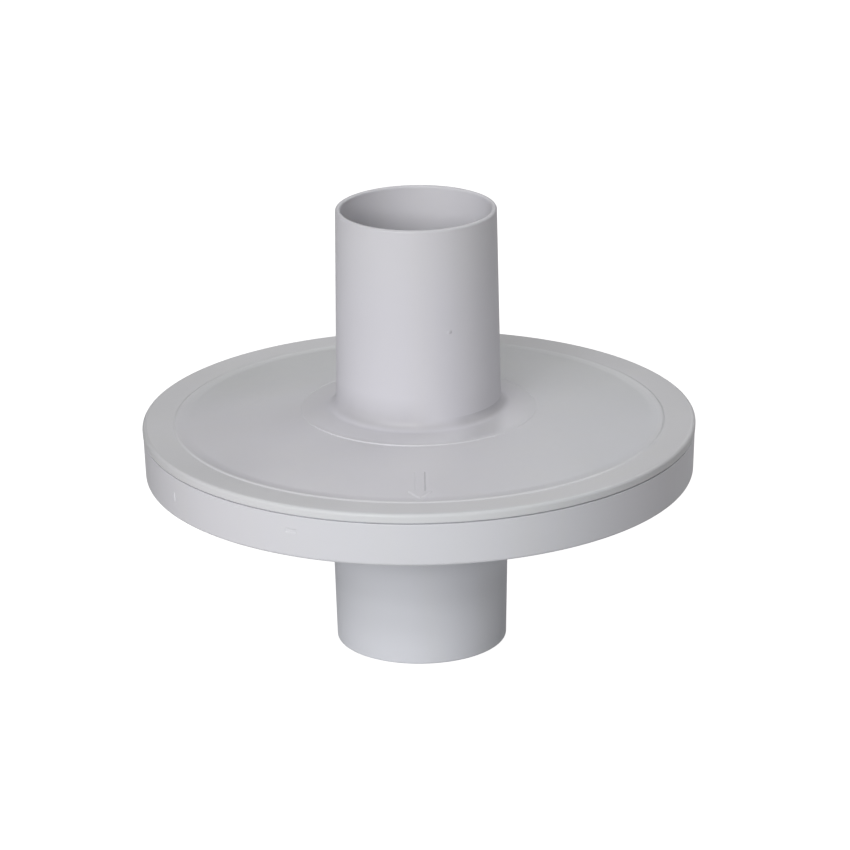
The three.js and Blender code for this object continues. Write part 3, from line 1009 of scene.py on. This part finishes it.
def grid(name, low, high, hub):
    azimuths = np.linspace(-180, 180, 160, endpoint=False)

    def band(r_in, r_out):
        return lathe(rectangle(r_in, r_out, low, high, GRID_EDGE), azimuths)

    ob = make(name, *band(GRID_RIM_IN, GRID_R))
    for radius in GRID_RINGS:
        boolean(ob, make("ring", *band(radius - GRID_BAR / 2, radius + GRID_BAR / 2)))
    for azimuth in RIB_AZIMUTHS:
        boolean(ob, make("spoke", *grid_spoke(low, high, hub, azimuth)))
    boolean(ob, make("hub", *grid_hub(low, high, hub, azimuths)))
    for azimuth in KEY_AZIMUTHS:
        notch = block((116.8, 120.5), (low - 2, high + 2), 7.0, azimuth)
        boolean(ob, make("notch", *notch), "DIFFERENCE")
    shade(ob)
    weighted(ob)
    return ob


for node, low, high, hub in GRIDS:
    name = node + "_form"
    form = grid(name, low, high, hub)
    place(form, "grid_plastic", "base", node)

# ------------------------------------------------------------------ seals

around = np.linspace(-180, 180, 288, endpoint=False)
# r, z, corner radius: a channel open towards the axis
edge_section = rounded(
    [
        (109.6, 92.5, 0.35),
        (116.4, 92.5, 0.7),
        (116.4, 95.2, 0.0),
        (116.1, 95.6, 0.2),
        (116.1, 98.0, 0.2),
        (116.4, 98.4, 0.0),
        (116.4, 101.1, 0.7),
        (109.6, 101.1, 0.35),
        (109.6, 100.1, 0.35),
        (113.4, 100.1, 0.4),
        (113.4, 93.5, 0.4),
        (109.6, 93.5, 0.35),
    ]
)
edge_seal = make("edge_seal_form", *lathe(edge_section, around))
weighted(edge_seal)
place(edge_seal, "seal_rubber", "base", "edge_seal")

RIM_SEAL = dict(r=125.25, z=101.5, cord_r=1.5)
cord_section = [
    (
        RIM_SEAL["r"] + RIM_SEAL["cord_r"] * math.cos(turn),
        RIM_SEAL["z"] + RIM_SEAL["cord_r"] * math.sin(turn),
    )
    for turn in np.linspace(0, 2 * math.pi, 24, endpoint=False)
]
rim_seal = make("rim_seal_form", *lathe(cord_section, around), 80)
place(rim_seal, "seal_rubber", "lid", "rim_seal")

# ------------------------------------------------------------------ filter pieces

FILTER_R = 113.2


def soft_disc(name, low, high, edge, swell, scale, seed, dimples=None):
    """A closed disc of soft stuff with rounded edges, its two faces lifted and sunk by noise.

    dimples is (pitch, size, depth) of a staggered pattern.
    """
    turned = 220
    flat = FILTER_R - edge
    rows = np.linspace(0, flat, 90)[1:]
    middle, half = (low + high) / 2, (high - low) / 2
    profile = [(radius, low) for radius in rows]
    profile += [
        (flat + edge * math.cos(turn), middle + half * math.sin(turn))
        for turn in np.linspace(-math.pi / 2, math.pi / 2, 13)[1:-1]
    ]
    profile += [(radius, high) for radius in rows[::-1]]
    turn = np.radians(np.linspace(-180, 180, turned, endpoint=False))
    radii = np.array([point[0] for point in profile])
    x, y = np.outer(np.cos(turn), radii), np.outer(np.sin(turn), radii)
    z = np.tile(np.array([point[1] for point in profile]), (turned, 1))
    side = np.sign(z - middle)
    fine = scale * 2.3
    sink = swell * (
        0.6 * value_noise(x * scale, y * scale, side * 3.3, seed)
        + 0.4 * value_noise(x * fine, y * fine, side * 5.1, seed + 1)
    )
    sink -= swell
    if dimples:
        pitch, size, depth = dimples
        across, along = x / pitch, y / pitch
        across = across + 0.5 * (np.round(along) % 2)
        across, along = across - np.round(across), along - np.round(along)
        sink -= depth * np.exp(-(across * across + along * along) * (pitch / size) ** 2)
    z = z + side * sink * np.clip((FILTER_R - np.hypot(x, y)) / edge, 0, 1)
    verts = [(0, 0, low + swell), (0, 0, high - swell)]
    verts += np.stack([x, y, z], -1).reshape(-1, 3).tolist()
    return make(name, verts, capped_faces(turned, len(profile)), 80)


pad = soft_disc(
    "filter_pad_form", low=93.7, high=97.2, edge=1.6, swell=0.18, scale=0.35, seed=11,
    dimples=(6.5, 1.1, 0.55),
)
place(pad, "filter_felt", "base", "filter_pad")
foam = soft_disc(
    "foam_prefilter_form", low=97.35, high=99.9, edge=1.1, swell=0.16, scale=0.8, seed=23
)
place(foam, "filter_foam", "base", "foam_prefilter")


def woven_screen(reach, pitch, wire, z):
    """Plain-weave wire cloth: every wire passes over and under the crossing ones."""
    verts, faces = [], []
    count = int(reach // pitch)
    wire_r = wire / 2
    for axis in (0, 1):
        order = -1 if axis else 1  # swapping x and y turns the faces over
        for i in range(-count, count + 1):
            y = i * pitch
            crossings = int(math.sqrt(max(reach * reach - y * y, 0)) // pitch)
            if crossings < 1:
                continue
            start = len(verts)
            for j in range(-crossings, crossings + 1):
                side = 1 if (i + j + axis) % 2 else -1
                for k in range(3):
                    turn = math.radians(90 + 120 * k)
                    along, across = j * pitch, y + wire_r * math.cos(turn)
                    height = z + side * wire_r + wire_r * math.sin(turn)
                    verts.append((across, along, height) if axis else (along, across, height))
            last = start + 2 * crossings * 3
            for ring in range(start, last, 3):
                for k in range(3):
                    here, beside = ring + k, ring + (k + 1) % 3
                    faces.append((here, here + 3, beside + 3, beside)[::order])
            faces.append((start, start + 1, start + 2)[::order])
            faces.append((last + 2, last + 1, last)[::order])
    return verts, faces


SCREEN_R = 116.3
SCREEN_Z = (101.2, 101.6)  # underside and top of the binding
binding = lathe(rectangle(107.6, SCREEN_R, *SCREEN_Z, 0.15), around)
cloth = woven_screen(reach=108.6, pitch=1.6, wire=0.2, z=101.4)
screen = make("insect_screen_form", *merged(cloth, binding), 60)
place(screen, "screen_steel", "base", "insect_screen")

# ------------------------------------------------------------------ floor and world, in metres

FLOOR_HALF = 30.0
FLOOR_Z = -0.0002

floor_mesh = bpy.data.meshes.new("floor")
floor_corners = [
    (x * FLOOR_HALF, y * FLOOR_HALF, FLOOR_Z) for x, y in ((-1, -1), (1, -1), (1, 1), (-1, 1))
]
floor_mesh.from_pydata(floor_corners, [], [(0, 1, 2, 3)])
floor = bpy.data.objects.new("floor", floor_mesh)
bpy.context.scene.collection.objects.link(floor)


def floor_material():
    """A pale glowing floor, clear from below."""
    material = bpy.data.materials.new("pale_floor")
    material.use_nodes = True
    net = Graph(material.node_tree)
    output = net.new("OutputMaterial")
    diffuse = net.new("BsdfDiffuse", {"Color": (0.25, 0.25, 0.25, 1)})
    level = net.camera_level("floor_glow", unseen=0.257, seen=0.96)
    glow = net.new("Emission", {"Color": (1, 1, 1, 1), "Strength": level})
    below = net.new("NewGeometry").outputs["Backfacing"]
    lit = net.new("AddShader", {0: diffuse.outputs[0], 1: glow.outputs[0]})
    clear = net.new("BsdfTransparent")
    both = net.new("MixShader", {0: below, 1: lit.outputs[0], 2: clear.outputs[0]})
    net.put(output.inputs["Surface"], both.outputs[0])
    return material


floor_mesh.materials.append(floor_material())

# a white dome that only the camera sees
world = bpy.data.worlds.new("studio")
bpy.context.scene.world = world
world.use_nodes = True
net = Graph(world.node_tree)
world_output = net.new("OutputWorld")
dome_level = net.camera_level("dome_level", unseen=0.0, seen=1.0)
dome = net.new("Background", {"Color": (1, 1, 1, 1), "Strength": dome_level}, name="dome")
net.put(world_output.inputs["Surface"], dome.outputs[0])

# ------------------------------------------------------------------ lights

LIGHT_AIM = Vector((0, 0, 0.105))
LIGHT_DISTANCE = 2.2
LIGHTS = {
    # name: (azimuth, elevation, width, height, power in watts)
    "key": (-12, 22, 0.9, 0.7, 18.3),
    "key_left": (-30, 22, 0.9, 0.7, 14.1),
    "key_high": (-12, 38, 0.9, 0.8, 2.3),
    "key_left_high": (-30, 38, 0.9, 0.8, 1.4),
    "left_low": (-50, 8, 0.9, 0.6, 4.0),
    "right_high": (60, 58, 1.0, 0.9, 0.7),
    "right": (75, 38, 0.9, 0.8, 2.0),
    "right_low": (90, 22, 0.9, 0.7, 1.2),
    "back_right": (130, 45, 1.1, 0.9, 10.5),
    "back_right_low": (130, 12, 1.1, 0.7, 1.2),
    "back": (180, 45, 1.1, 0.9, 7.0),
    "back_left": (-130, 45, 1.1, 0.9, 3.8),
    "top": (0, 89, 1.6, 1.6, 7.5),
}
for name, (azimuth, elevation, width, height, power) in LIGHTS.items():
    data = bpy.data.lights.new(name, "AREA")
    data.shape = "RECTANGLE"
    data.size, data.size_y = width, height
    data.energy = power
    light = bpy.data.objects.new(name, data)
    bpy.context.scene.collection.objects.link(light)
    turn, tilt = math.radians(azimuth), math.radians(elevation)
    away = Vector(
        (math.sin(turn) * math.cos(tilt), -math.cos(turn) * math.cos(tilt), math.sin(tilt))
    )
    light.location = LIGHT_AIM + away * LIGHT_DISTANCE
    light.rotation_euler = (-away).to_track_quat("-Z", "Y").to_euler()
    light.visible_camera = False

# ------------------------------------------------------------------ camera

CAMERA_ELEVATION = math.radians(19.482)
CAMERA_ROLL = math.radians(0.817)
CAMERA_DISTANCE = 2.1731  # from the axis at the height of the lid's flat band
CAMERA_LENS = 195.694306
CAMERA_SENSOR = 36.0
# where that point lies off the middle of the view, as slopes to the right and down
VIEW_OFFSET = (-0.0013171564, -0.0016705767)

camera_aim = np.array([0, 0, Z_LID * MM])
camera_from_aim = CAMERA_DISTANCE * np.array(
    [0, -math.cos(CAMERA_ELEVATION), math.sin(CAMERA_ELEVATION)]
)
forward = -camera_from_aim / np.linalg.norm(camera_from_aim)
right = np.array([1.0, 0, 0])
# rows are the camera's right, down and forward
view = np.array([right, -np.cross(right, forward), forward])
cos_roll, sin_roll = math.cos(CAMERA_ROLL), math.sin(CAMERA_ROLL)
view = np.array([[cos_roll, sin_roll, 0], [-sin_roll, cos_roll, 0], [0, 0, 1]]) @ view
# the shortest turn that carries the view's middle to the offset direction
offset = np.array([*VIEW_OFFSET, 1.0])
offset /= np.linalg.norm(offset)
pivot = np.cross([0, 0, 1.0], offset)
cross_matrix = np.array(
    [[0, -pivot[2], pivot[1]], [pivot[2], 0, -pivot[0]], [-pivot[1], pivot[0], 0]]
)
view = (np.eye(3) + cross_matrix + cross_matrix @ cross_matrix / (1 + offset[2])) @ view

pose = np.eye(4)
pose[:3, :3] = np.stack([view[0], -view[1], -view[2]], axis=1)
pose[:3, 3] = camera_from_aim + camera_aim
camera_data = bpy.data.cameras.new("camera")
camera_data.sensor_width = CAMERA_SENSOR
camera_data.lens = CAMERA_LENS
camera_data.clip_start, camera_data.clip_end = 0.05, 100.0
camera = bpy.data.objects.new("camera", camera_data)
bpy.context.scene.collection.objects.link(camera)
camera.matrix_world = Matrix(pose.tolist())
bpy.context.scene.camera = camera

bpy.context.scene.view_settings.view_transform = "Standard"
bpy.context.scene.view_settings.look = "None"
